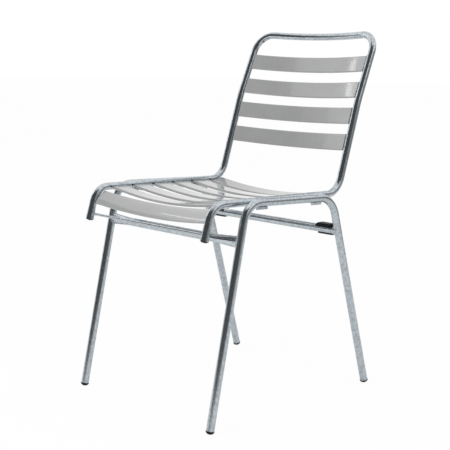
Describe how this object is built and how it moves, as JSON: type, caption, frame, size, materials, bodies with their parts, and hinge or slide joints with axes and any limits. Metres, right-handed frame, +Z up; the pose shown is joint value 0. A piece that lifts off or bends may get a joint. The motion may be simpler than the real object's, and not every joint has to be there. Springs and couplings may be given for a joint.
{
  "type": "stacking metal chair",
  "caption": "Stacking terrace chair: bent galvanised tube frame, bowed slats for seat and back, crossbars with stacking buffers and black foot glides.",
  "frame": {"origin": "middle of the chair's footprint on the floor, under the centre of its bounding box", "axes": "+Z up, the sitter faces -Y, +X to the right seen from the front"},
  "size_m": [0.46, 0.5975, 0.8525],
  "materials": {
    "galvanised_tube": "galvanised, slightly mottled",
    "brackets": "galvanised",
    "screws": "plain",
    "slats": "smooth, glossy mid grey",
    "black_plastic": "matt black"
  },
  "bodies": {
    "root": {"back_slat_1": "slats", "back_slat_2": "slats", "back_slat_3": "slats", "back_slat_4": "slats", "back_slat_lugs_left": "brackets", "back_slat_lugs_right": "brackets", "back_slat_screws_left": "screws", "back_slat_screws_right": "screws", "foot_glide_front_left": "black_plastic", "foot_glide_front_right": "black_plastic", "foot_glide_rear_left": "black_plastic", "foot_glide_rear_right": "black_plastic", "front_crossbar": "galvanised_tube", "front_tie_rod": "galvanised_tube", "joining_plate_front_left": "brackets", "joining_plate_front_right": "brackets", "joining_plate_rear_left": "brackets", "joining_plate_rear_right": "brackets", "leg_frame_left": "galvanised_tube", "leg_frame_right": "galvanised_tube", "rear_crossbar": "galvanised_tube", "seat_back_tube": "galvanised_tube", "seat_slat_1": "slats", "seat_slat_2": "slats", "seat_slat_3": "slats", "seat_slat_4": "slats", "seat_slat_5": "slats", "seat_slat_6": "slats", "seat_slat_7": "slats", "seat_slat_lugs_left": "brackets", "seat_slat_lugs_right": "brackets", "seat_slat_screws_left": "screws", "seat_slat_screws_right": "screws", "stack_buffer_left": "black_plastic", "stack_buffer_right": "black_plastic", "tube_plug_left": "black_plastic", "tube_plug_right": "black_plastic"}
  },
  "joints": []
}
